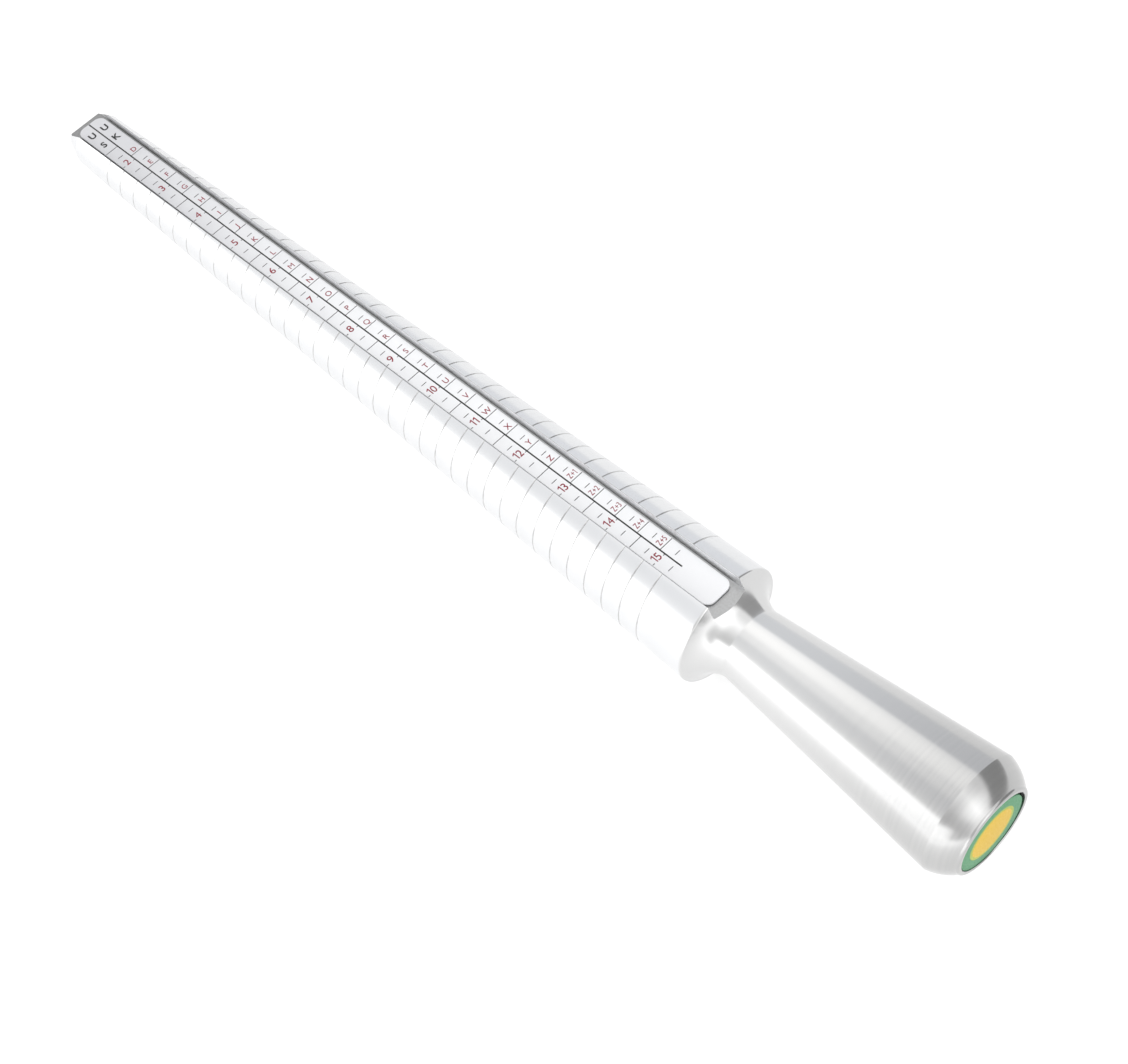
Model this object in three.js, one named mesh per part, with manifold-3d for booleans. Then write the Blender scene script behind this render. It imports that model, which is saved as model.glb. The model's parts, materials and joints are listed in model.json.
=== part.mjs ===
// Ring sizer stick: a turned aluminium mandrel whose blade is a gauge cone for finger rings.
// A milled slot along the top of the blade holds a printed scale plate on a strip of adhesive
// film, and a printed disc sits in a shallow recess in the end of the flared handle.
//
// Millimetres, +Z up. The stick lies with the underside of its blade along the ground:
// +X runs from the tip to the handle, and the slot faces up.

import * as THREE from "three";
import { mergeVertices } from "three/addons/utils/BufferGeometryUtils.js";
import Module from "manifold-3d";

// ---------------------------------------------------------------- driving dimensions

// Blade: stations are distances from the tip plane along the turning axis.
const CONE_TIP_RADIUS = 6.0; // radius that the gauge cone has at the tip plane
const CONE_SLOPE = 0.0346; // radius gained per millimetre of length
const LEAD_IN_RADIUS = 4.65; // flat tip face
const LEAD_IN_LENGTH = 4.0; // short steep cone that leads a ring on
const SHOULDER_STATION = 187; // where the gauge cone ends

// Lines engraved round the blade, one for each whole millimetre of ring circumference
const FIRST_LINE = 41;
const LAST_LINE = 76;
const LINE_WIDTH = 0.3;
const LINE_DEPTH = 0.12;

// Shoulder and neck
const SHOULDER_ROUND = 0.4;
const FILLET_RADIUS = 7.0;
const NECK_STATION = 192.9;
const NECK_RADIUS = 7.4;

// Handle
const RIM_STATION = 242.8; // widest ring of the flared handle
const RIM_RADIUS = 12.18;
const CROWN_STATION = 247.7; // end of the crowned chamfer
const CROWN_RADIUS = 9.4;
const CROWN_ARC_RADIUS = 10.2;
const END_ROUND = 0.6;

// Slot along the top of the blade; its floor runs parallel to the top line of the cone.
const SLOT_WIDTH = 8.1;
const SLOT_DEPTH = 3.4; // below the top line of the cone
const SLOT_END_STATION = 197; // past the shoulder, in clear air over the neck

// Printed scale plate and the film under it
const PLATE_LENGTH = 185;
const PLATE_WIDTH = 6.6;
const PLATE_THICKNESS = 0.4;
const PLATE_CORNER = 1.8;
const PLATE_START = 1.5; // from the tip plane
const PLATE_OFFSET = 0.15; // sideways in the slot
const FILM_THICKNESS = 0.1;
const FILM_MARGIN = 0.3; // how far the film stops inside the plate's edge
const SEAT_GAP = 0.05; // clearance at each seated face

// Printed disc in the handle's end
const RECESS_RADIUS = 8.35;
const RECESS_DEPTH = 1.2;
const DISC_RADIUS = 8.0;
const DISC_THICKNESS = 0.8;
const DISC_OFFSET_Y = -0.2; // the disc was stuck down a little off centre
const DISC_OFFSET_Z = -0.2;
const DISC_FILM_RADIUS = 8.2; // the film covers the whole bottom of the recess

// Fineness of the faceted solids
const SIDES = 36;
const DISC_SIDES = 64;
const CORNER_STEPS = 6;

const END_STATION = CROWN_STATION + END_ROUND;
const CONE_ANGLE = Math.atan(CONE_SLOPE);

// ---------------------------------------------------------------- helpers

const wasm = await Module();
wasm.setup();

function toSolid(geometry) {
  const bare = geometry.clone();
  bare.deleteAttribute("normal");
  bare.deleteAttribute("uv");
  const merged = mergeVertices(bare, 1e-5);
  const mesh = new wasm.Mesh({
    numProp: 3,
    vertProperties: new Float32Array(merged.attributes.position.array),
    triVerts: new Uint32Array(merged.index.array),
  });
  return new wasm.Manifold(mesh);
}

function toGeometry(solid) {
  const mesh = solid.getMesh();
  const geometry = new THREE.BufferGeometry();
  geometry.setAttribute("position", new THREE.BufferAttribute(mesh.vertProperties, 3));
  geometry.setIndex(new THREE.BufferAttribute(mesh.triVerts, 1));
  geometry.computeVertexNormals();
  return geometry;
}

function material(color, roughness, metalness) {
  return new THREE.MeshStandardMaterial({ color, roughness, metalness });
}

function named(name, geometry, finish) {
  const mesh = new THREE.Mesh(geometry, finish);
  mesh.name = name;
  return mesh;
}

// A point of a turned profile: radius from the axis and station along it.
function at(station, radius) {
  return new THREE.Vector2(radius, station);
}

// Points of a round stretch of profile from one point to another, the start left out.
// side is +1 for a hollow arc, whose centre is outside the metal, and -1 for a crowned one.
function arc(from, to, radius, side, steps) {
  const chord = to.clone().sub(from);
  const rise = Math.sqrt(radius * radius - chord.lengthSq() / 4);
  const normal = new THREE.Vector2(chord.y, -chord.x).normalize();
  const centre = from.clone().add(to).multiplyScalar(0.5).addScaledVector(normal, side * rise);
  const start = from.clone().sub(centre).angle();
  let sweep = to.clone().sub(centre).angle() - start;
  if (sweep > Math.PI) sweep -= 2 * Math.PI;
  if (sweep < -Math.PI) sweep += 2 * Math.PI;
  const points = [];
  for (let i = 1; i <= steps; i += 1) {
    const angle = start + (sweep * i) / steps;
    points.push(new THREE.Vector2(Math.cos(angle), Math.sin(angle)).multiplyScalar(radius).add(centre));
  }
  return points;
}

// Turns a profile about the X axis. Its flats touch the true round surface, and one flat
// faces straight down.
function turned(profile, sides) {
  const reach = 1 / Math.cos(Math.PI / sides);
  const points = profile.map((point) => new THREE.Vector2(point.x * reach, point.y));
  const geometry = new THREE.LatheGeometry(points, sides, Math.PI / sides, 2 * Math.PI);
  geometry.rotateZ(-Math.PI / 2);
  return geometry;
}

// A flat strip with round corners, lying on z = 0 and running along +X from x = 0.
function strip(length, width, thickness, corner) {
  const half = width / 2;
  const outline = new THREE.Shape();
  outline.absarc(corner, corner - half, corner, Math.PI, 1.5 * Math.PI, false);
  outline.absarc(length - corner, corner - half, corner, 1.5 * Math.PI, 2 * Math.PI, false);
  outline.absarc(length - corner, half - corner, corner, 0, 0.5 * Math.PI, false);
  outline.absarc(corner, half - corner, corner, 0.5 * Math.PI, Math.PI, false);
  return new THREE.ExtrudeGeometry(outline, {
    depth: thickness,
    bevelEnabled: false,
    curveSegments: CORNER_STEPS,
  });
}

function disc(radius, thickness) {
  const geometry = new THREE.CylinderGeometry(radius, radius, thickness, DISC_SIDES);
  geometry.rotateZ(-Math.PI / 2);
  geometry.translate(thickness / 2, 0, 0);
  return geometry;
}

// ---------------------------------------------------------------- mandrel

function coneRadius(station) {
  return CONE_TIP_RADIUS + CONE_SLOPE * station;
}

// Where a ring of this inner circumference comes to rest on the blade.
function ringStation(circumference) {
  return (circumference / (2 * Math.PI) - CONE_TIP_RADIUS) / CONE_SLOPE;
}

function engravedLines() {
  const points = [];
  for (let size = FIRST_LINE; size <= LAST_LINE; size += 1) {
    const middle = ringStation(size);
    const before = middle - LINE_WIDTH / 2;
    const after = middle + LINE_WIDTH / 2;
    points.push(at(before, coneRadius(before)));
    points.push(at(middle, coneRadius(middle) - LINE_DEPTH));
    points.push(at(after, coneRadius(after)));
  }
  return points;
}

function mandrelProfile() {
  const shoulder = at(SHOULDER_STATION, coneRadius(SHOULDER_STATION));
  const shoulderFoot = at(SHOULDER_STATION + SHOULDER_ROUND, shoulder.x - SHOULDER_ROUND);
  const neck = at(NECK_STATION, NECK_RADIUS);
  const rim = at(RIM_STATION, RIM_RADIUS);
  const crown = at(CROWN_STATION, CROWN_RADIUS);
  const endEdge = at(END_STATION, CROWN_RADIUS - END_ROUND);
  return [
    at(0, 0),
    at(0, LEAD_IN_RADIUS),
    at(LEAD_IN_LENGTH, coneRadius(LEAD_IN_LENGTH)),
    ...engravedLines(),
    shoulder,
    ...arc(shoulder, shoulderFoot, SHOULDER_ROUND, -1, 4),
    ...arc(shoulderFoot, neck, FILLET_RADIUS, 1, 8),
    rim,
    ...arc(rim, crown, CROWN_ARC_RADIUS, -1, 5),
    ...arc(crown, endEdge, END_ROUND, -1, 3),
    at(END_STATION, RECESS_RADIUS),
    at(END_STATION - RECESS_DEPTH, RECESS_RADIUS),
    at(END_STATION - RECESS_DEPTH, 0),
  ];
}

// The cutter's underside is the slot floor. Its origin is the floor's centre line at the tip.
function slotCutter() {
  const overrun = 5;
  const height = 12;
  const length = SLOT_END_STATION + overrun;
  const cutter = new THREE.BoxGeometry(length, SLOT_WIDTH, height);
  cutter.translate(length / 2 - overrun, 0, height / 2);
  cutter.rotateY(-CONE_ANGLE);
  cutter.translate(0, 0, CONE_TIP_RADIUS - SLOT_DEPTH);
  return cutter;
}

function mandrelBody() {
  const blank = toSolid(turned(mandrelProfile(), SIDES));
  const slotted = blank.subtract(toSolid(slotCutter()));
  return named("mandrel_body", toGeometry(slotted), material(0xcfd2d6, 0.3, 1.0));
}

// ---------------------------------------------------------------- scale plate and its film

function slotContents() {
  const film = named(
    "scale_adhesive",
    strip(
      PLATE_LENGTH - 2 * FILM_MARGIN,
      PLATE_WIDTH - 2 * FILM_MARGIN,
      FILM_THICKNESS,
      PLATE_CORNER - FILM_MARGIN,
    ),
    material(0x2b2c2e, 0.8, 0.0),
  );
  film.position.set(PLATE_START + FILM_MARGIN, PLATE_OFFSET, SEAT_GAP);

  const plate = named(
    "scale_plate",
    strip(PLATE_LENGTH, PLATE_WIDTH, PLATE_THICKNESS, PLATE_CORNER),
    material(0xf4f4f8, 0.35, 0.0),
  );
  plate.position.set(PLATE_START, PLATE_OFFSET, FILM_THICKNESS + 2 * SEAT_GAP);

  const slot = new THREE.Group();
  slot.add(film, plate);
  slot.position.z = CONE_TIP_RADIUS - SLOT_DEPTH;
  slot.rotation.y = -CONE_ANGLE;
  return slot;
}

// ---------------------------------------------------------------- disc in the handle's end

function recessContents() {
  const film = named(
    "end_disc_adhesive",
    disc(DISC_FILM_RADIUS, FILM_THICKNESS),
    material(0x2b2c2e, 0.8, 0.0),
  );
  film.position.x = SEAT_GAP;

  const printed = named("end_disc", disc(DISC_RADIUS, DISC_THICKNESS), material(0x6aaa82, 0.35, 0.0));
  printed.position.set(FILM_THICKNESS + 2 * SEAT_GAP, DISC_OFFSET_Y, DISC_OFFSET_Z);

  const recess = new THREE.Group();
  recess.add(film, printed);
  recess.position.x = END_STATION - RECESS_DEPTH;
  return recess;
}

// ---------------------------------------------------------------- assembly

const stick = new THREE.Group();
stick.add(mandrelBody(), slotContents(), recessContents());
// Tipping the axis up by the cone's angle lays the underside of the blade on the ground.
stick.rotation.y = -CONE_ANGLE;

// The frame's origin is the middle of the stick's length, on the ground.
const extent = new THREE.Box3().setFromObject(stick, true);
stick.position.x = -(extent.min.x + extent.max.x) / 2;
stick.position.z = -extent.min.z;

const group = new THREE.Group();
group.add(stick);

export default group;
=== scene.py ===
import json
import math

import bmesh
import bpy
from mathutils import Matrix, Quaternion, Vector


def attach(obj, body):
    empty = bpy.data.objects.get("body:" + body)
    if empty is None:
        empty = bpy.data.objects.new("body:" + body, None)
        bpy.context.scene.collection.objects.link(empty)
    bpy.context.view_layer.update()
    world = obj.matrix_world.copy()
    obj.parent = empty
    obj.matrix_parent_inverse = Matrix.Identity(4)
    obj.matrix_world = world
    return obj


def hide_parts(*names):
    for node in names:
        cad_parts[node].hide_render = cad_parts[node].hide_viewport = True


# Ring sizer stick: the fine surfaces, the printed scale, the finishes and the studio, built
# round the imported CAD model. The stick frame used below has its origin at the middle of the
# tip face, +X along the turning axis to the handle, +Y to the letter column, +Z out of the
# slot. Its units are millimetres, and a station is a distance along +X from the tip face.

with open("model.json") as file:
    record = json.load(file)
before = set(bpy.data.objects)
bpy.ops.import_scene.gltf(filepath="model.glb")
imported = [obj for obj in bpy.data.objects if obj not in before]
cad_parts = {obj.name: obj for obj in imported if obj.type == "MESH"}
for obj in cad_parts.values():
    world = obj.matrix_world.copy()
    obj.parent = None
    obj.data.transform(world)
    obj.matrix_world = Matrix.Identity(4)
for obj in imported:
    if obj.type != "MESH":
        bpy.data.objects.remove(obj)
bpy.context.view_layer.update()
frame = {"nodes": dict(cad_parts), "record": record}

MM = 0.001

# ------------------------------------------------------------------ driving dimensions (mm)

CONE_TIP_RADIUS = 6.0
CONE_SLOPE = 0.0346
LEAD_IN_RADIUS = 4.65
LEAD_IN_LENGTH = 4.0
TIP_EDGE = 0.12  # broken edge of the tip face
SHOULDER_STATION = 187.0
SHOULDER_ROUND = 0.4
FILLET_RADIUS = 7.0
NECK_STATION = 192.9
NECK_RADIUS = 7.4
RIM_STATION = 242.8
RIM_RADIUS = 12.18
CROWN_STATION = 247.7
CROWN_RADIUS = 9.4
CROWN_ARC_RADIUS = 10.2
END_ROUND = 0.6
RECESS_RADIUS = 8.35
RECESS_DEPTH = 1.2
RECESS_EDGE = 0.1

# Engraved lines, one for each whole millimetre of ring circumference
FIRST_LINE = 41
LAST_LINE = 76
LINE_WIDTH = 0.3
LINE_DEPTH = 0.09

# Milled slot
SLOT_WIDTH = 8.1
SLOT_DEPTH = 3.4  # below the top line of the cone
SLOT_END_STATION = 197.0  # past the shoulder, in clear air over the neck
SLOT_CORNER = 0.25  # radius that the cutter leaves along the floor's edges
SLOT_CHAMFER = 0.1  # broken edge where a wall meets the cone
CUTTER_FLARE = 8.0  # how far the cutter opens out, at 45 degrees, above the walls
CUTTER_START = -3.0  # in clear air before the tip

# Printed scale plate and its film, whose sizes come from the CAD model
PLATE_BEVEL = 0.06
PLATE_CORNER = 1.8
FILM_MARGIN = 0.3  # how far the film stops inside the plate's edge
FILM_BEVEL = 0.02

# Marks on the plate
CENTRE_LINE = (1.6, 177.0)  # stations of its two ends
US_ZERO = -6.196  # station that US size 0 would have
US_PITCH = 11.933  # from one US size to the next
US_FIRST, US_LAST = 2, 15
UK_ZERO = -0.925  # station that UK size A would have
UK_PITCH = 5.747  # from one UK letter to the next
UK_FIRST, UK_LAST = 3, 30  # D to Z+5
UK_LAST_LETTER = 25  # Z; the sizes past it are Z+1 and on
INK_HEIGHT = 0.012  # how far a mark stands proud of the plate
INK_SINK = 0.004  # how far a mark's underside lies in the plate
CENTRE_WIDTH = 0.3
LINE_INK = 0.145  # width of every other line

# Fineness: facets round the turned pieces, and steps along each round stretch
SIDES = 288
DISC_SIDES = 160
SHOULDER_STEPS = 24
FILLET_STEPS = 28
CROWN_STEPS = 16
END_STEPS = 18
SLOT_CORNER_STEPS = 12
PLATE_CORNER_STEPS = 14
BEVEL_STEPS = 4
CUT_WELD = 1e-8  # corners of the slotted mandrel closer than this are one (metres)
SMOOTH_ANGLE = 30.0  # degrees between faces that are still shaded as one surface
CUT_SMOOTH_ANGLE = 8.0  # the same for the slotted mandrel
TURN_MAP = "turned"  # the UV map that follows the lathe's feed
TURN_MAP_LENGTH = 40.0  # millimetres of length to one unit of it

END_STATION = CROWN_STATION + END_ROUND


# ------------------------------------------------------------------ placing


def stick_placement():
    """The stick frame's matrix in the row frame, for meshes in metres, from the tip mount."""
    tip = next(m for m in frame["record"]["mounts"] if m["name"] == "tip_face")
    along = -Vector(tip["axis"]).normalized()
    across = Vector((0.0, 1.0, 0.0))
    up = along.cross(across)
    place = Matrix((along, across, up)).transposed().to_4x4()
    place.translation = Vector(tip["pos_m"])
    return place


PLACEMENT = stick_placement()


def node_box(name):
    """Lowest and highest corners of a CAD node in the stick frame, in millimetres."""
    back = PLACEMENT.inverted()
    points = [back @ v.co / MM for v in frame["nodes"][name].data.vertices]
    low = Vector(min(p[i] for p in points) for i in range(3))
    high = Vector(max(p[i] for p in points) for i in range(3))
    return low, high


def slope_about(station_z):
    """Turns slot pieces so that they lie along the slot floor, about the tip plane."""
    lean = Matrix.Rotation(-math.atan(CONE_SLOPE), 4, "Y")
    return Matrix.Translation((0.0, 0.0, station_z)) @ lean


# ------------------------------------------------------------------ mesh helpers


def smooth_up_to(bm, angle):
    """Marks the edges above this many degrees as sharp, and smooths the rest."""
    for face in bm.faces:
        face.smooth = True
    for edge in bm.edges:
        edge.smooth = edge.calc_face_angle(0.0) < math.radians(angle)


def mesh_object(name, bm, materials):
    """A piece from a bmesh in millimetres in the stick frame."""
    bmesh.ops.recalc_face_normals(bm, faces=bm.faces)
    smooth_up_to(bm, SMOOTH_ANGLE)
    bmesh.ops.transform(bm, matrix=PLACEMENT @ Matrix.Scale(MM, 4), verts=bm.verts)
    mesh = bpy.data.meshes.new(name)
    bm.to_mesh(mesh)
    bm.free()
    for material in materials:
        mesh.materials.append(material)
    obj = bpy.data.objects.new(name, mesh)
    bpy.context.scene.collection.objects.link(obj)
    return obj


def lathe(profile, sides=SIDES, centre=(0.0, 0.0)):
    """Turns (station, radius) points about the X axis. The first and last lie on the axis. The
    UV map's U runs round the axis, which gives the turned finish its direction."""
    bm = bmesh.new()
    around = bm.loops.layers.uv.new(TURN_MAP)
    start = bm.verts.new((profile[0][0], *centre))
    end = bm.verts.new((profile[-1][0], *centre))
    rings = []
    for station, radius in profile[1:-1]:
        ring = []
        for i in range(sides):
            turn = 2.0 * math.pi * (i + 0.5) / sides
            y = centre[0] + radius * math.sin(turn)
            z = centre[1] + radius * math.cos(turn)
            ring.append(bm.verts.new((station, y, z)))
        rings.append(ring)
    for i in range(sides):
        j = (i + 1) % sides
        faces = [bm.faces.new((start, rings[0][i], rings[0][j]))]
        faces.append(bm.faces.new((end, rings[-1][j], rings[-1][i])))
        for a, b in zip(rings, rings[1:]):
            faces.append(bm.faces.new((a[i], b[i], b[j], a[j])))
        for face in faces:
            for loop in face.loops:
                x, y, z = loop.vert.co
                turn = math.atan2(y - centre[0], z - centre[1]) / (2.0 * math.pi)
                turn += round((i + 1.0) / sides - turn)
                loop[around].uv = (turn, x / TURN_MAP_LENGTH)
    return bm


HOLLOW, CROWNED = 1, -1  # an arc whose centre is outside the metal, and one inside it


def arc(start, end, radius, side, steps):
    """Points of a round stretch of profile, HOLLOW or CROWNED, the start left out."""
    a, b = Vector(start), Vector(end)
    chord = b - a
    rise = math.sqrt(radius**2 - chord.length_squared / 4.0)
    normal = Vector((-chord.y, chord.x)).normalized()
    centre = (a + b) / 2.0 + normal * side * rise
    first = math.atan2(a.y - centre.y, a.x - centre.x)
    sweep = math.atan2(b.y - centre.y, b.x - centre.x) - first
    sweep = (sweep + math.pi) % (2.0 * math.pi) - math.pi
    points = []
    for i in range(1, steps + 1):
        angle = first + sweep * i / steps
        points.append((centre.x + radius * math.cos(angle), centre.y + radius * math.sin(angle)))
    return points


def quarter_turn(steps):
    """Angles from 0 to a right angle, both included."""
    return [math.pi / 2.0 * i / steps for i in range(steps + 1)]


def loft(sections):
    """A closed solid through rings of points that all have the same number of points."""
    bm = bmesh.new()
    rings = [[bm.verts.new(p) for p in section] for section in sections]
    count = len(rings[0])
    for a, b in zip(rings, rings[1:]):
        for i in range(count):
            j = (i + 1) % count
            bm.faces.new((a[i], a[j], b[j], b[i]))
    bm.faces.new(rings[0])
    bm.faces.new(rings[-1])
    return bm


def round_strip(low, high, corner):
    """Outline of a strip with round corners between two (x, y) corners."""
    steps = PLATE_CORNER_STEPS
    centres = (
        (high[0] - corner, high[1] - corner, 0.0),
        (low[0] + corner, high[1] - corner, 0.5),
        (low[0] + corner, low[1] + corner, 1.0),
        (high[0] - corner, low[1] + corner, 1.5),
    )
    outline = []
    for cx, cy, turn in centres:
        for i in range(steps + 1):
            angle = math.pi * (turn + 0.5 * i / steps)
            outline.append((cx + corner * math.cos(angle), cy + corner * math.sin(angle)))
    return outline


def add_bar(bm, low, high):
    """Adds one box between two corners."""
    corners = [
        bm.verts.new((x, y, z))
        for z in (low[2], high[2])
        for x, y in ((low[0], low[1]), (high[0], low[1]), (high[0], high[1]), (low[0], high[1]))
    ]
    for face in ((3, 2, 1, 0), (4, 5, 6, 7)):
        bm.faces.new([corners[i] for i in face])
    for i in range(4):
        j = (i + 1) % 4
        bm.faces.new((corners[i], corners[j], corners[j + 4], corners[i + 4]))


# ------------------------------------------------------------------ material helpers

NOISE_ENDS = (0.3, 0.7)  # nearly all of a noise node's values lie between these


def map_range(tree, value, ranges, kind="LINEAR"):
    """Maps a value; ranges holds where it comes from and where it goes, two numbers each."""
    node = tree.nodes.new("ShaderNodeMapRange")
    node.interpolation_type = kind
    for key, limit in zip(("From Min", "From Max", "To Min", "To Max"), ranges):
        node.inputs[key].default_value = limit
    tree.links.new(value, node.inputs["Value"])
    return node.outputs["Result"]


def smooth_step(tree, value, low, high):
    """0 to 1, smoothly, as a value goes from low to high."""
    return map_range(tree, value, (low, high, 0.0, 1.0), "SMOOTHSTEP")


def colour_ramp(tree, fac, stops):
    """A colour ramp through (place, colour) stops."""
    node = tree.nodes.new("ShaderNodeValToRGB")
    elements = node.color_ramp.elements
    while len(elements) < len(stops):
        elements.new(0.5)
    for element, (place, colour) in zip(elements, stops):
        element.position = place
        element.color = (*colour, 1.0)
    tree.links.new(fac, node.inputs["Fac"])
    return node.outputs["Color"]


def mix_colours(tree, fac, first, second):
    """One colour giving way to another as fac goes from 0 to 1."""
    node = tree.nodes.new("ShaderNodeMix")
    node.data_type = "RGBA"
    for index, socket in ((0, fac), (6, first), (7, second)):
        tree.links.new(socket, node.inputs[index])
    return node.outputs[2]


class Nodes:
    """A material's node tree, with short calls for the nodes used here."""

    def __init__(self, name):
        self.material = bpy.data.materials.new(name)
        self.material.use_nodes = True
        self.tree = self.material.node_tree
        self.shader = self.tree.nodes["Principled BSDF"]

    def add(self, kind, **inputs):
        node = self.tree.nodes.new(kind)
        for key, value in inputs.items():
            node.inputs[key.replace("_", " ")].default_value = value
        return node

    def link(self, out, into):
        self.tree.links.new(out, into)

    def drive(self, name, out):
        """Links a socket to one of the shader's own inputs."""
        self.link(out, self.shader.inputs[name])

    def set(self, **values):
        """Sets constants on the shader's own inputs."""
        for key, value in values.items():
            self.shader.inputs[key.replace("_", " ")].default_value = value

    def stick_point(self):
        """The shaded point in the stick frame, in metres."""
        place = self.add("ShaderNodeTexCoord")
        back = PLACEMENT.inverted()
        mapping = self.add("ShaderNodeMapping", Location=back.translation)
        mapping.inputs["Rotation"].default_value = back.to_euler()
        self.link(place.outputs["Object"], mapping.inputs["Vector"])
        return mapping.outputs["Vector"]

    def coordinates(self, scale):
        """The shaded point in the stick frame, scaled per metre on each axis."""
        mapping = self.add("ShaderNodeMapping", Scale=scale)
        self.link(self.stick_point(), mapping.inputs["Vector"])
        return mapping.outputs["Vector"]

    def noise(self, scale, detail=3.0):
        """Noise from 0 to 1 with the given repeats per metre on each axis."""
        noise = self.add("ShaderNodeTexNoise", Scale=1.0, Detail=detail)
        self.link(self.coordinates(scale), noise.inputs["Vector"])
        return noise.outputs["Fac"]

    def shades(self, noise, dark, light, ends=NOISE_ENDS):
        """Noise turned into shades between two colours."""
        return colour_ramp(self.tree, noise, tuple(zip(ends, (dark, light))))

    def spread(self, noise, low, high):
        """Noise stretched over a range."""
        return map_range(self.tree, noise, (*NOISE_ENDS, low, high))

    def bump(self, height, distance, strength=1.0, after=None):
        """Small relief, in metres, on top of another bump if one is given."""
        bump = self.add("ShaderNodeBump", Strength=strength, Distance=distance)
        self.link(height, bump.inputs["Height"])
        if after is not None:
            self.link(after, bump.inputs["Normal"])
        return bump.outputs["Normal"]

    def feed_tangent(self):
        """The direction of the lathe's feed marks, round the axis."""
        tangent = self.tree.nodes.new("ShaderNodeTangent")
        tangent.direction_type = "UV_MAP"
        tangent.uv_map = TURN_MAP
        return tangent.outputs["Tangent"]

    def along(self, low, high):
        """0 to 1, smoothly, between two stations in millimetres."""
        parts = self.add("ShaderNodeSeparateXYZ")
        self.link(self.stick_point(), parts.inputs["Vector"])
        return smooth_step(self.tree, parts.outputs["X"], low * MM, high * MM)

    def along_stick(self, low, high, first, second):
        """One colour giving way to another between two stations."""
        return mix_colours(self.tree, self.along(low, high), first, second)


def grey(value, warmth=0.0):
    """A near grey; warmth above 0 leans to yellow, below 0 to blue."""
    return (value * (1.0 + warmth), value * (1.0 + 0.3 * warmth), value * (1.0 - warmth))


# ------------------------------------------------------------------ materials

# Stations between which one painted shade of the metal and of the plate gives way to the next
TIP_TO_MIDDLE = (0.0, 100.0)
BLADE_TO_NECK = (SHOULDER_STATION - 0.3, SHOULDER_STATION + 0.3)
NECK_TO_GRIP = (SHOULDER_STATION + 8.0, END_STATION + 2.0)


def turned_aluminium():
    """Satin lathe-turned metal: the light streaks along the stick, and the tool's feed leaves
    fine rings round it. The neck and the grip are painted darker than the blade, the grip
    darker still towards the handle's end: painted shade."""
    n = Nodes("turned_aluminium")
    rings = n.noise((1500.0, 9.0, 9.0), detail=3.0)
    drift = n.noise((160.0, 50.0, 50.0), detail=2.0)
    blade = n.shades(drift, grey(0.735, -0.012), grey(0.755, -0.01))
    # painted shade: the neck's and the grip's greys fall below the blade's, and fall further
    # towards the handle's end
    neck = n.shades(rings, grey(0.635), grey(0.65))
    grip = n.shades(rings, grey(0.452), grey(0.486, 0.004))
    handle = n.along_stick(*NECK_TO_GRIP, neck, grip)
    n.drive("Base Color", n.along_stick(*BLADE_TO_NECK, blade, handle))
    n.drive("Roughness", n.spread(rings, 0.17, 0.23))
    n.set(Metallic=1.0, Anisotropic=0.85, Anisotropic_Rotation=0.25)
    n.drive("Tangent", n.feed_tangent())
    n.drive("Normal", n.bump(rings, 0.0000006))
    return n.material


def engraved_aluminium():
    """The engraved lines: turned metal again, painted darker as shade in the grooves, with a
    random mottle.
    """
    n = Nodes("engraved_aluminium")
    groove_mottle = n.noise((900.0, 900.0, 900.0), detail=4.0)
    # painted shade: the grooves get darker greys than the turned metal round them
    n.drive("Base Color", n.shades(groove_mottle, grey(0.48), grey(0.6)))
    n.drive("Roughness", n.spread(groove_mottle, 0.22, 0.32))
    n.set(Metallic=1.0, Anisotropic=0.6, Anisotropic_Rotation=0.25)
    n.drive("Tangent", n.feed_tangent())
    return n.material


def milled_aluminium(name, tip, shoulder):
    """A face of the slot as the end mill left it: duller metal with crossing cutter arcs. tip
    and shoulder are its darkest and lightest greys near the tip and from the middle on; the
    greyer tip is painted shade."""
    n = Nodes(name)
    arcs = n.tree.nodes.new("ShaderNodeTexWave")
    arcs.wave_type = "RINGS"
    arcs.rings_direction = "SPHERICAL"
    arcs.inputs["Scale"].default_value = 900.0
    arcs.inputs["Distortion"].default_value = 1.5
    n.link(n.coordinates((1.0, 1.0, 0.2)), arcs.inputs["Vector"])
    grain = n.noise((2500.0, 2500.0, 2500.0), detail=4.0)
    near_tip = n.shades(grain, grey(tip[0]), grey(tip[1], -0.01))
    far = n.shades(grain, grey(shoulder[0]), grey(shoulder[1], -0.01))
    # painted shade: the greys darken towards the tip
    n.drive("Base Color", n.along_stick(*TIP_TO_MIDDLE, near_tip, far))
    n.drive("Roughness", n.spread(grain, 0.38, 0.5))
    n.set(Metallic=1.0)
    milled = n.bump(arcs.outputs["Fac"], 0.00001, strength=0.6)
    n.drive("Normal", n.bump(grain, 0.00001, strength=0.7, after=milled))
    return n.material


def plate_white():
    """Printed white face: a satin coat with a very fine grain, faintly cold, and greyer at
    the tip as painted shade."""
    n = Nodes("plate_white")
    grain = n.noise((1500.0, 1500.0, 1500.0), detail=5.0)
    clouds = n.noise((90.0, 160.0, 160.0), detail=2.0)
    # painted shade: the white greys towards the tip
    near_tip = n.shades(clouds, (0.555, 0.556, 0.58), (0.58, 0.582, 0.6))
    far = n.shades(clouds, (0.765, 0.77, 0.785), (0.785, 0.79, 0.805))
    n.drive("Base Color", n.along_stick(*TIP_TO_MIDDLE, near_tip, far))
    n.drive("Roughness", n.spread(grain, 0.3, 0.42))
    n.set(Specular_IOR_Level=0.3)
    n.drive("Normal", n.bump(grain, 0.000004))
    return n.material


def ink(name, thin, full):
    """Screen-printed ink that lies a little unevenly, between a thin and a full colour."""
    n = Nodes(name)
    patches = n.noise((2600.0, 2600.0, 2600.0), detail=4.0)
    n.drive("Base Color", n.shades(patches, thin, full, ends=(0.32, 0.6)))
    n.drive("Roughness", n.spread(patches, 0.35, 0.6))
    n.set(Specular_IOR_Level=0.3)
    n.drive("Normal", n.bump(patches, 0.000003))
    return n.material


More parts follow.
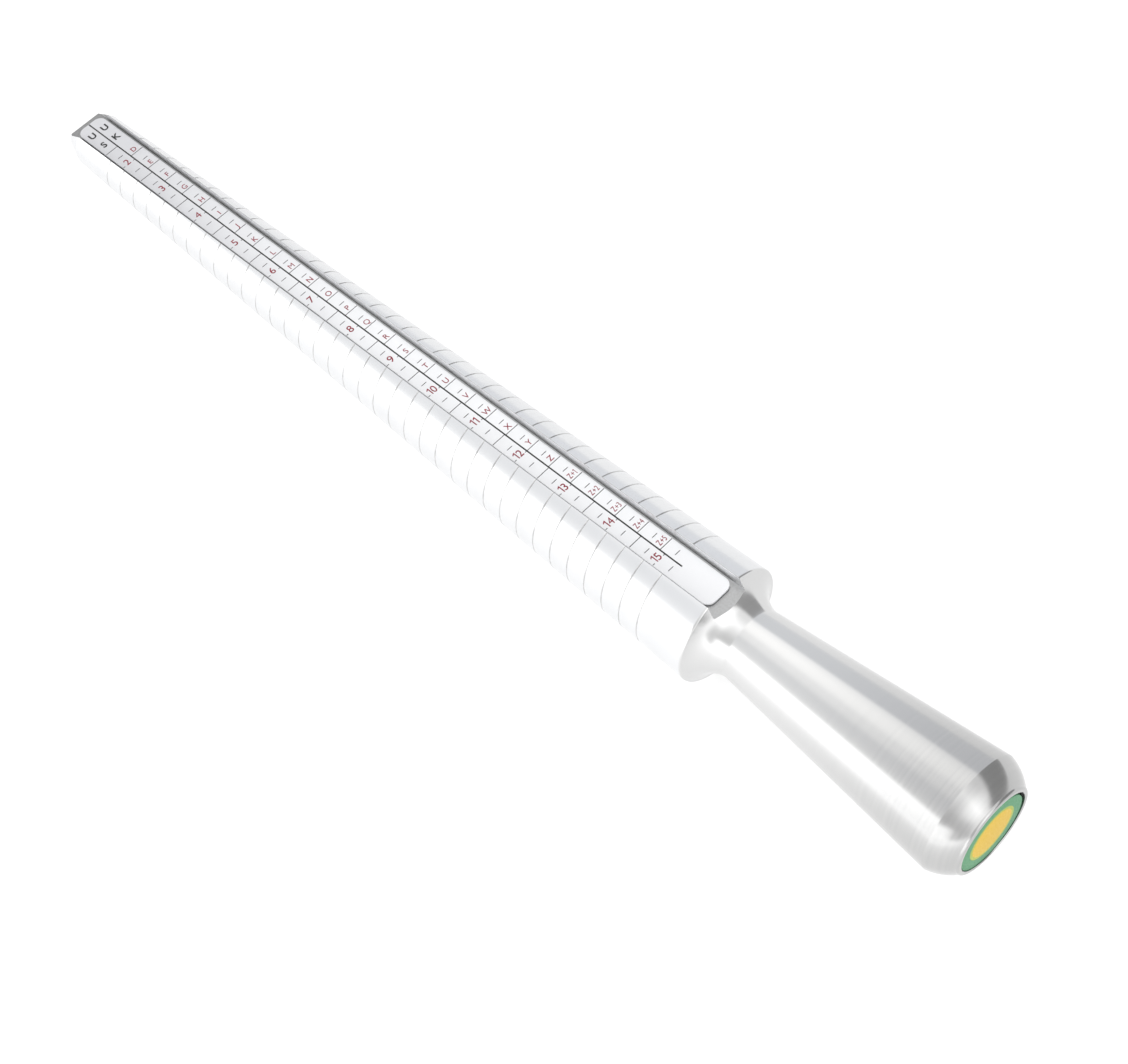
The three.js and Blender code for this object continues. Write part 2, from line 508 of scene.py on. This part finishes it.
def dark_film():
    """Edge of the adhesive film: near black as a painted shadow in the gaps under the plate and
    the disc, dull, with dust caught in it.
    """
    n = Nodes("dark_film")
    dust = n.noise((3000.0, 3000.0, 3000.0), detail=5.0)
    # painted shadow: the film is near black, standing for the shade in the gaps round it
    n.drive("Base Color", n.shades(dust, grey(0.02), grey(0.09), ends=(0.45, 0.75)))
    n.drive("Roughness", n.spread(dust, 0.6, 0.9))
    n.drive("Normal", n.bump(dust, 0.00002))
    return n.material


# ------------------------------------------------------------------ mandrel


def cone_radius(station):
    """Radius of the gauge cone."""
    return CONE_TIP_RADIUS + CONE_SLOPE * station


def slot_floor(station):
    """Height of the slot's floor above the axis."""
    return CONE_TIP_RADIUS - SLOT_DEPTH + CONE_SLOPE * station


def ring_station(circumference):
    """Where a ring of this inner circumference comes to rest on the blade."""
    return (circumference / (2.0 * math.pi) - CONE_TIP_RADIUS) / CONE_SLOPE


def engraved_lines():
    """Points of the blade's profile: a groove with a narrow flat bottom at each line."""
    groove = ((-0.5, 0.0), (-0.12, LINE_DEPTH), (0.12, LINE_DEPTH), (0.5, 0.0))
    points = []
    for size in range(FIRST_LINE, LAST_LINE + 1):
        middle = ring_station(size)
        for step, depth in groove:
            station = middle + step * LINE_WIDTH
            points.append((station, cone_radius(station) - depth))
    return points


def mandrel_profile():
    """The turned outline, from the middle of the tip face to the middle of the end recess."""
    lead_in = (LEAD_IN_LENGTH, cone_radius(LEAD_IN_LENGTH))
    shoulder = (SHOULDER_STATION, cone_radius(SHOULDER_STATION))
    shoulder_foot = (SHOULDER_STATION + SHOULDER_ROUND, shoulder[1] - SHOULDER_ROUND)
    neck = (NECK_STATION, NECK_RADIUS)
    rim = (RIM_STATION, RIM_RADIUS)
    crown = (CROWN_STATION, CROWN_RADIUS)
    end_edge = (END_STATION, CROWN_RADIUS - END_ROUND)
    recess = (END_STATION, RECESS_RADIUS + RECESS_EDGE)
    return [
        (0.0, 0.0),
        (0.0, LEAD_IN_RADIUS - TIP_EDGE),
        (TIP_EDGE, LEAD_IN_RADIUS),
        lead_in,
        *engraved_lines(),
        shoulder,
        *arc(shoulder, shoulder_foot, SHOULDER_ROUND, CROWNED, SHOULDER_STEPS),
        *arc(shoulder_foot, neck, FILLET_RADIUS, HOLLOW, FILLET_STEPS),
        rim,
        *arc(rim, crown, CROWN_ARC_RADIUS, CROWNED, CROWN_STEPS),
        *arc(crown, end_edge, END_ROUND, CROWNED, END_STEPS),
        recess,
        (END_STATION - RECESS_EDGE, RECESS_RADIUS),
        (END_STATION - RECESS_DEPTH, RECESS_RADIUS),
        (END_STATION - RECESS_DEPTH, 0.0),
    ]


def blade_radius(station):
    """Radius of the blade's outline, the lead-in included, held past both of its ends."""
    station = min(max(station, 0.0), SHOULDER_STATION)
    if station >= LEAD_IN_LENGTH:
        return cone_radius(station)
    rise = cone_radius(LEAD_IN_LENGTH) - LEAD_IN_RADIUS
    return LEAD_IN_RADIUS + rise * station / LEAD_IN_LENGTH


def slot_section(station):
    """The cutter's outline at one station: round lower corners, walls, and a flare that breaks
    the edge where each wall comes out of the cone."""
    half = SLOT_WIDTH / 2.0
    floor = slot_floor(station)
    corner = SLOT_CORNER
    edge = math.sqrt(max(blade_radius(station) ** 2 - half**2, 0.0)) - SLOT_CHAMFER
    edge = max(edge, floor + corner + SLOT_CHAMFER)
    right = [
        (half - corner + corner * math.sin(turn), floor + corner - corner * math.cos(turn))
        for turn in quarter_turn(SLOT_CORNER_STEPS)
    ]
    right += [(half, edge), (half + CUTTER_FLARE, edge + CUTTER_FLARE)]
    left = [(-y, z) for y, z in reversed(right)]
    return [(station, y, z) for y, z in right + left]


def slot_cutter(material):
    """The slot as a solid. Its outline is close set over the lead-in, where its edge curves."""
    stations = [CUTTER_START, 0.0, 0.5, 1.0, 2.0, 3.0, LEAD_IN_LENGTH]
    stations += range(7, 176, 12)
    stations += [SHOULDER_STATION, SLOT_END_STATION]
    return mesh_object("slot_cutter", loft([slot_section(s) for s in stations]), [material])


def mark_engraving(bm):
    """Gives the faces inside the engraved lines the second material."""
    for face in bm.faces:
        middle = face.calc_center_median()
        depth = cone_radius(middle.x) - math.hypot(middle.y, middle.z)
        if LEAD_IN_LENGTH < middle.x < SHOULDER_STATION and depth > LINE_DEPTH / 4.0:
            face.material_index = 1


def mark_walls(mesh):
    """Gives the slot's upright walls the last material, the lighter copy of the milled metal,
    whose greys are painted light.
    """
    for face in mesh.polygons:
        if face.material_index == 2 and abs(face.normal.y) > 0.9:
            face.material_index = 3


def mandrel(turned, engraved, milled, wall):
    """The turned blank with the slot cut into it."""
    blank = lathe(mandrel_profile())
    mark_engraving(blank)
    piece = mesh_object("mandrel", blank, [turned, engraved, milled, wall])
    cutter = slot_cutter(milled)
    bpy.context.view_layer.update()
    cut = piece.modifiers.new("slot", "BOOLEAN")
    cut.operation = "DIFFERENCE"
    cut.solver = "EXACT"
    cut.material_mode = "TRANSFER"
    cut.object = cutter
    graph = bpy.context.evaluated_depsgraph_get()
    result = bpy.data.meshes.new_from_object(piece.evaluated_get(graph))
    piece.modifiers.clear()
    piece.data = result
    result.name = "mandrel"
    mark_walls(result)
    clean_cut(result)
    bpy.data.objects.remove(cutter)
    return piece


def clean_cut(mesh):
    """Joins the corners that the cut left double, and marks its edges as sharp."""
    bm = bmesh.new()
    bm.from_mesh(mesh)
    bmesh.ops.remove_doubles(bm, verts=bm.verts, dist=CUT_WELD)
    smooth_up_to(bm, CUT_SMOOTH_ANGLE)
    bm.to_mesh(mesh)
    bm.free()


# ------------------------------------------------------------------ scale plate and printing


def plate_bounds():
    """The corners of the plate and of its film in the slot's own slope: stations along the
    floor, heights above it."""
    level = slope_about(CONE_TIP_RADIUS - SLOT_DEPTH)
    back = level.inverted() @ Matrix.Scale(1.0 / MM, 4) @ PLACEMENT.inverted()
    return slot_box("scale_plate", back), slot_box("scale_adhesive", back)


def slot_box(name, back):
    """Lowest and highest corners of a CAD node, after the matrix has been applied to it."""
    points = [back @ v.co for v in frame["nodes"][name].data.vertices]
    low = [min(p[i] for p in points) for i in range(3)]
    high = [max(p[i] for p in points) for i in range(3)]
    return low, high


def lay_in_slot(bm):
    """Leans a bmesh made on the level so that it lies along the slot floor."""
    level = slope_about(CONE_TIP_RADIUS - SLOT_DEPTH)
    bmesh.ops.transform(bm, matrix=level, verts=bm.verts)
    return bm


def strip_solid(low, high, corner, bevel):
    """A strip with round corners whose top edge is rolled over by the bevel."""
    sections = [[(x, y, low[2]) for x, y in round_strip(low, high, corner)]]
    for turn in quarter_turn(BEVEL_STEPS):
        inset = bevel * (1.0 - math.cos(turn))
        z = high[2] - bevel + bevel * math.sin(turn)
        first = (low[0] + inset, low[1] + inset)
        last = (high[0] - inset, high[1] - inset)
        sections.append([(x, y, z) for x, y in round_strip(first, last, corner - inset)])
    return loft(sections)


def us_station(size):
    """Where a US size lies on the blade."""
    return US_ZERO + US_PITCH * size


def uk_station(letter):
    """Where a UK letter lies on the blade; A is 0."""
    return UK_ZERO + UK_PITCH * letter


class Scale:
    """Places marks on the plate's face. The plate lies level here, with +X to the handle."""

    def __init__(self, plate):
        self.low, self.high = plate
        self.middle = (self.low[1] + self.high[1]) / 2.0
        self.under = self.high[2] - INK_SINK
        self.over = self.high[2] + INK_HEIGHT

    def bar(self, bm, start, end, y0, y1):
        """A box of ink between two stations."""
        add_bar(bm, (start, y0, self.under), (end, y1, self.over))

    def tick(self, bm, station, y0, y1):
        """A thin line across the plate at one station."""
        self.bar(bm, station - LINE_INK / 2.0, station + LINE_INK / 2.0, y0, y1)


SHORT_TICK = 1.3  # length of a centred short tick
US_STUB = 0.5  # length of a whole size's mark at each side of its numeral
US_FIRST_QUARTER = 6  # size 1 1/2, whose line the scale starts with
EDGE_MARGIN = 0.1  # how far the marks stop inside the plate's rolled edge


def us_marks(scale, bm):
    """Full lines at the half sizes, short ticks at the quarters, and stubs at whole sizes."""
    outer = scale.low[1] + EDGE_MARGIN
    centre = (scale.low[1] + scale.middle) / 2.0
    for quarter in range(US_FIRST_QUARTER, 4 * US_LAST + 2):
        size = quarter / 4.0
        if quarter % 4 == 0:
            scale.tick(bm, us_station(size), outer, outer + US_STUB)
            scale.tick(bm, us_station(size), scale.middle - US_STUB, scale.middle)
        elif quarter % 4 == 2:
            scale.tick(bm, us_station(size), outer, scale.middle)
        else:
            scale.tick(bm, us_station(size), centre - SHORT_TICK / 2.0, centre + SHORT_TICK / 2.0)


def uk_marks(scale, bm):
    """A full line at every letter, and a short tick at every half."""
    outer = scale.high[1] - EDGE_MARGIN
    centre = (scale.high[1] + scale.middle) / 2.0
    for letter in range(UK_FIRST, UK_LAST + 1):
        scale.tick(bm, uk_station(letter), scale.middle, outer)
        half = uk_station(letter + 0.5)
        scale.tick(bm, half, centre - SHORT_TICK / 2.0, centre + SHORT_TICK / 2.0)


def centre_line(scale, bm):
    """The heavy line between the two columns."""
    half = CENTRE_WIDTH / 2.0
    scale.bar(bm, *CENTRE_LINE, scale.middle - half, scale.middle + half)


def printed_lines(scale, material):
    """Every ruled line of the scale."""
    bm = bmesh.new()
    for draw in (centre_line, us_marks, uk_marks):
        draw(scale, bm)
    return mesh_object("scale_lines", lay_in_slot(bm), [material])


CAPITAL = 0.729  # height of a capital in the built-in font, in its own units
SIGN_GAP = 0.09  # between the signs of one name, in the same units
SIGN_WEIGHT = 0.006  # how far the strokes are thickened
SIGN_WELD = 0.0002  # a sign's faces and sides are joined where they are closer than this (mm)
THIN_SIGNS = "4MQ"  # thickened, these would close their corners or cross their own strokes


def font_sign(sign, weight):
    """One sign of the built-in font as a solid mesh one unit thick, on the baseline y = 0."""
    curve = bpy.data.curves.new("lettering", "FONT")
    curve.body = sign
    curve.fill_mode = "BOTH"
    curve.extrude = 0.5
    curve.offset = 0.0 if sign in THIN_SIGNS else weight
    curve.resolution_u = 6
    holder = bpy.data.objects.new("lettering", curve)
    bpy.context.scene.collection.objects.link(holder)
    graph = bpy.context.evaluated_depsgraph_get()
    mesh = bpy.data.meshes.new_from_object(holder.evaluated_get(graph))
    bpy.data.objects.remove(holder)
    bpy.data.curves.remove(curve)
    return mesh


def flagged_one():
    """A figure 1 with a flag, which the built-in font draws as a bare stroke."""
    stem = ((0.21, 0.0), (0.31, 0.0), (0.31, 0.73), (0.23, 0.73))
    flag = ((0.03, 0.6), (0.03, 0.5), (0.21, 0.6))
    bm = loft([[(x, y, z) for x, y in stem + flag] for z in (-0.5, 0.5)])
    mesh = bpy.data.meshes.new("figure_one")
    bm.to_mesh(mesh)
    bm.free()
    return mesh


def add_lettering(scale, bm, text, height, station, y, squeeze=1.0, weight=SIGN_WEIGHT):
    """Lettering centred on y, with the middle of its height at a station and its top to the
    tip. It reads across the stick, towards +Y."""
    signs = [flagged_one() if sign == "1" else font_sign(sign, weight) for sign in text]
    spans = [(min(v.co.x for v in m.vertices), max(v.co.x for v in m.vertices)) for m in signs]
    total = sum(high - low for low, high in spans) + SIGN_GAP * (len(signs) - 1)
    size = height / CAPITAL
    start = y - total / 2.0 * size * squeeze
    for mesh, (low, high) in zip(signs, spans):
        mesh.transform(Matrix((
            (0.0, -size, 0.0, station + height / 2.0),
            (size * squeeze, 0.0, 0.0, start - low * size * squeeze),
            (0.0, 0.0, scale.over - scale.under, (scale.over + scale.under) / 2.0),
            (0.0, 0.0, 0.0, 1.0),
        )))
        bm.from_mesh(mesh)
        bpy.data.meshes.remove(mesh)
        start += (high - low + SIGN_GAP) * size * squeeze
    bmesh.ops.remove_doubles(bm, verts=bm.verts, dist=SIGN_WELD)


# Heights of the lettering, and how far each name is squeezed across the stick
US_TEXT = 1.8
US_LONG_SQUEEZE = 0.9  # numerals of two figures
UK_TEXT = 1.35
UK_SQUEEZE = 0.95
UK_LONG_TEXT = 1.3  # the sizes past Z, which are two signs longer
UK_LONG_SQUEEZE = 0.66
US_RISE = 0.72  # from a size's line to the middle of its numeral
UK_RISE = 1.18  # from a letter's line to the middle of the letter

# Headings: each sign with its station and its side of the centre line
HEADING_TEXT = 1.7
HEADING_WEIGHT = 0.03
HEADINGS = (("U", 4.9, -1), ("S", 8.9, -1), ("U", 5.0, 1), ("K", 9.1, 1))


def uk_name(letter):
    """The printed name of a UK size."""
    past = letter - UK_LAST_LETTER
    return f"Z+{past}" if past > 0 else chr(ord("A") + letter)


def printed_sizes(scale, material):
    """The numerals and letters of the two columns."""
    bm = bmesh.new()
    us_centre = (scale.low[1] + scale.middle) / 2.0
    uk_centre = (scale.high[1] + scale.middle) / 2.0
    for size in range(US_FIRST, US_LAST + 1):
        squeeze = US_LONG_SQUEEZE if size > 9 else 1.0
        place = us_station(size) - US_RISE
        add_lettering(scale, bm, str(size), US_TEXT, place, us_centre, squeeze)
    for letter in range(UK_FIRST, UK_LAST + 1):
        long_name = letter > UK_LAST_LETTER
        height = UK_LONG_TEXT if long_name else UK_TEXT
        squeeze = UK_LONG_SQUEEZE if long_name else UK_SQUEEZE
        place = uk_station(letter) - UK_RISE
        add_lettering(scale, bm, uk_name(letter), height, place, uk_centre, squeeze)
    return mesh_object("scale_sizes", lay_in_slot(bm), [material])


def printed_headings(scale, material):
    """The names of the two columns, read from the tip."""
    bm = bmesh.new()
    offset = (scale.high[1] - scale.middle) / 2.0
    for text, station, side in HEADINGS:
        y = scale.middle + side * offset
        add_lettering(scale, bm, text, HEADING_TEXT, station, y, weight=HEADING_WEIGHT)
    return mesh_object("scale_headings", lay_in_slot(bm), [material])


# ------------------------------------------------------------------ disc in the handle's end

DISC_BEVEL = 0.08
DISC_BORDER_RADIUS = 5.75
DISC_CENTRE_RADIUS = 5.15


def disc_solid(low, high, radius, bevel, centre):
    """A disc between two stations, its outer edge rolled over."""
    profile = [(low, 0.0), (low, radius)]
    for turn in quarter_turn(BEVEL_STEPS):
        station = high - bevel + bevel * math.sin(turn)
        profile.append((station, radius - bevel + bevel * math.cos(turn)))
    profile.append((high, 0.0))
    return lathe(profile, sides=DISC_SIDES, centre=centre)


def end_disc(green, border, centre_ink):
    """The green disc and, as printed layers on it, its border and its centre."""
    low, high = node_box("end_disc")
    middle = ((low.y + high.y) / 2.0, (low.z + high.z) / 2.0)
    radius = (high.y - low.y) / 2.0
    solid = disc_solid(low.x, high.x, radius, DISC_BEVEL, middle)
    base = mesh_object("end_disc_face", solid, [green])
    layers = []
    for name, size, top, material in (
        ("end_disc_border", DISC_BORDER_RADIUS, INK_HEIGHT, border),
        ("end_disc_centre", DISC_CENTRE_RADIUS, 2.0 * INK_HEIGHT, centre_ink),
    ):
        bm = disc_solid(high.x - INK_SINK, high.x + top, size, top / 2.0, middle)
        layers.append(mesh_object(name, bm, [material]))
    return base, layers


# ------------------------------------------------------------------ studio

FLOOR_REACH = 4.0  # from the middle of the floor to its edges, in metres
FLOOR_GLOW = (-0.14, 0.01, 1.45, 0.63)  # two places along Y, and the floor's glow at each: a painted pool of light


def studio_floor():
    """A pale floor that glows, most at its front: a painted pool of light."""
    bm = bmesh.new()
    bmesh.ops.create_grid(bm, x_segments=8, y_segments=8, size=FLOOR_REACH)
    mesh = bpy.data.meshes.new("floor")
    bm.to_mesh(mesh)
    bm.free()
    floor = bpy.data.objects.new("floor", mesh)
    bpy.context.scene.collection.objects.link(floor)
    n = Nodes("pale_floor_painted_glow")
    n.set(Base_Color=(0.4, 0.4, 0.4, 1.0), Roughness=0.9, Specular_IOR_Level=0.0)
    n.set(Emission_Color=(1.0, 1.0, 1.0, 1.0))
    place = n.add("ShaderNodeTexCoord")
    parts = n.add("ShaderNodeSeparateXYZ")
    n.link(place.outputs["Object"], parts.inputs["Vector"])
    # painted light: the floor glows brightest at its front
    n.drive("Emission Strength", map_range(n.tree, parts.outputs["Y"], FLOOR_GLOW))
    mesh.materials.append(n.material)


# Brightness of the light tent by the angle round the stick: 0 is straight up, -90 is level at
# the front, where the big soft light stands, and 90 is level at the back. Each part of the
# tent takes over from the one before it between two places along X, from the tip's side (-1)
# to the handle's (1).
TIP_TENT = (
    (-180, grey(1.0)),
    (-62, grey(2.2)),
    (-57, grey(1.3)),
    (-51, grey(1.16, -0.004)),
    (-40, grey(1.08, -0.01)),
    (-27, grey(1.06, -0.01)),
    (-15, grey(1.24)),
    (-3, grey(1.28)),
    (9, grey(1.5, 0.006)),
    (24, grey(1.55, 0.006)),
    (40, grey(1.42)),
    (44, grey(0.97, -0.025)),
    (81, grey(0.97, -0.025)),
    (100, grey(1.0)),
    (180, grey(1.0)),
)
MIDDLE_TENT = (
    (-180, grey(1.08)),
    (-125, grey(1.1)),
    (-100, grey(1.4)),
    (-88, grey(2.1)),
    (-68, grey(2.1)),
    (-60, grey(1.0)),
    (-52, grey(0.86)),
    (-40, grey(0.92)),
    (-27, grey(1.15)),
    (-2, grey(1.6)),
    (22, grey(1.18)),
    (35, grey(1.15)),
    (43, grey(0.45)),
    (76, grey(0.42)),
    (88, grey(0.46)),
    (100, grey(0.8)),
    (114, grey(1.0)),
    (180, grey(1.08)),
)
HANDLE_TENT = (
    (-180, grey(1.08)),
    (-110, grey(1.1)),
    (-84, grey(0.88)),
    (-60, grey(0.93)),
    (-45, grey(1.1)),
    (-27, grey(1.75)),
    (-2, grey(2.3)),
    (20, grey(1.8)),
    (36, grey(1.5)),
    (44, grey(0.45)),
    (100, grey(0.45)),
    (112, grey(0.75)),
    (125, grey(1.0)),
    (180, grey(1.08)),
)
TENT_END = ((-180, grey(1.7)), (180, grey(1.7)))
TENT_PARTS = (
    (-0.22, -0.08, MIDDLE_TENT),
    (0.5, 0.7, HANDLE_TENT),
    (0.9, 0.97, TENT_END),
)
BACKDROP = (0.72, 0.72, 0.72, 1.0)  # what is seen past the floor's far edge


def light_tent():
    """A white tent round the stick, with a dark doorway at the back on the handle's side. The
    tent lights the stick; seen directly, past the floor, there is a plain backdrop instead."""
    world = bpy.data.worlds.new("light_tent")
    bpy.context.scene.world = world
    world.use_nodes = True
    tree = world.node_tree
    place = tree.nodes.new("ShaderNodeTexCoord")
    parts = tree.nodes.new("ShaderNodeSeparateXYZ")
    tree.links.new(place.outputs["Generated"], parts.inputs["Vector"])
    angle = tree.nodes.new("ShaderNodeMath")
    angle.operation = "ARCTAN2"
    tree.links.new(parts.outputs["Y"], angle.inputs[0])
    tree.links.new(parts.outputs["Z"], angle.inputs[1])
    turn = map_range(tree, angle.outputs[0], (-math.pi, math.pi, 0.0, 1.0))
    colour = tent_part(tree, turn, TIP_TENT)
    for low, high, stops in TENT_PARTS:
        onward = smooth_step(tree, parts.outputs["X"], low, high)
        colour = mix_colours(tree, onward, colour, tent_part(tree, turn, stops))
    tent = tree.nodes["Background"]
    tree.links.new(colour, tent.inputs["Color"])
    hide_tent(tree, tent)


def tent_part(tree, turn, stops):
    """One part of the tent; turn goes from 0 to 1 as the angle goes from -180 to 180."""
    return colour_ramp(tree, turn, [((angle + 180) / 360, colour) for angle, colour in stops])


def hide_tent(tree, tent):
    """Shows the plain backdrop in the tent's place where the world is seen directly."""
    backdrop = tree.nodes.new("ShaderNodeBackground")
    backdrop.inputs["Color"].default_value = BACKDROP
    seen = tree.nodes.new("ShaderNodeLightPath")
    choice = tree.nodes.new("ShaderNodeMixShader")
    tree.links.new(seen.outputs["Is Camera Ray"], choice.inputs[0])
    tree.links.new(tent.outputs[0], choice.inputs[1])
    tree.links.new(backdrop.outputs[0], choice.inputs[2])
    tree.links.new(choice.outputs[0], tree.nodes["World Output"].inputs["Surface"])


# The camera, in metres and degrees; the lens is in millimetres on a 36 mm sensor
CAMERA_PLACE = Vector((0.2039, -0.1410, 0.3790))
CAMERA_TARGET = Vector((0.0268, -0.00536, 0.0120))
CAMERA_ROLL = -9.33
CAMERA_LENS = 73.55
CAMERA_SENSOR = 36.0


def camera():
    """Looks down on the stick from the front of the handle's end."""
    data = bpy.data.cameras.new("camera")
    data.sensor_width = CAMERA_SENSOR
    data.lens = CAMERA_LENS
    data.clip_start = 0.01
    data.clip_end = 50.0
    obj = bpy.data.objects.new("camera", data)
    bpy.context.scene.collection.objects.link(obj)
    aim = (CAMERA_TARGET - CAMERA_PLACE).to_track_quat("-Z", "Y")
    obj.location = CAMERA_PLACE
    obj.rotation_mode = "QUATERNION"
    obj.rotation_quaternion = aim @ Quaternion((0.0, 0.0, 1.0), math.radians(CAMERA_ROLL))
    bpy.context.scene.camera = obj


def colour_management():
    """Plain display colours, so that whites stay white."""
    view = bpy.context.scene.view_settings
    view.view_transform = "Standard"
    view.look = "None"
    view.exposure = 0.0


# ------------------------------------------------------------------ assembly


def build_mandrel():
    """The mandrel, in its turned, engraved and milled finishes, their greys holding painted shade
    and light.
    """
    # shaded and lit copies of one milled metal: the floor's dark greys are painted shade in the
    # slot's bottom, the walls' light greys painted light
    shaded_floor_metal = milled_aluminium("milled_floor_painted_shade", (0.22, 0.28), (0.37, 0.45))
    lit_wall_metal = milled_aluminium("milled_wall_painted_light", (0.84, 0.92), (0.86, 0.94))
    body = mandrel(turned_aluminium(), engraved_aluminium(), shaded_floor_metal, lit_wall_metal)
    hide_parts("mandrel_body")
    return body


def build_scale(film):
    """The scale plate and the film under it, and everything that is printed on the plate."""
    black = ink("ink_black", grey(0.03), grey(0.012))
    red = ink("ink_red", (0.28, 0.015, 0.04), (0.2, 0.005, 0.018))

    plate_box, film_box = plate_bounds()
    plate_mesh = strip_solid(*plate_box, PLATE_CORNER, PLATE_BEVEL)
    plate = mesh_object("printed_scale_plate", lay_in_slot(plate_mesh), [plate_white()])
    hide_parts("scale_plate")

    film_mesh = strip_solid(*film_box, PLATE_CORNER - FILM_MARGIN, FILM_BEVEL)
    under_plate = mesh_object("plate_film", lay_in_slot(film_mesh), [film])
    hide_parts("scale_adhesive")

    scale = Scale(plate_box)
    printing = [
        printed_lines(scale, black),
        printed_sizes(scale, red),
        printed_headings(scale, black),
    ]
    return (plate, under_plate), printing


def build_end_disc(film):
    """The disc in the handle's end and the film under it, and the disc's printed layers."""
    face, layers = end_disc(
        ink("disc_green", (0.1, 0.3, 0.15), (0.08, 0.27, 0.13)),
        ink("disc_lime", (0.42, 0.48, 0.09), (0.38, 0.44, 0.06)),
        ink("disc_yellow", (0.7, 0.47, 0.05), (0.65, 0.42, 0.03)),
    )
    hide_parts("end_disc")

    low, high = node_box("end_disc_adhesive")
    centre = ((low.y + high.y) / 2.0, (low.z + high.z) / 2.0)
    film_disc = disc_solid(low.x, high.x, (high.y - low.y) / 2.0, FILM_BEVEL, centre)
    under_disc = mesh_object("disc_film", film_disc, [film])
    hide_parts("end_disc_adhesive")

    return (face, under_disc), layers


def build_stick():
    """Every piece of the stick, each one fixed to the part's root."""
    film = dark_film()
    body = build_mandrel()
    plates, printing = build_scale(film)
    discs, layers = build_end_disc(film)
    for piece in (body, *plates, *discs, *printing, *layers):
        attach(piece, "root")


camera()
colour_management()
light_tent()
studio_floor()
build_stick()
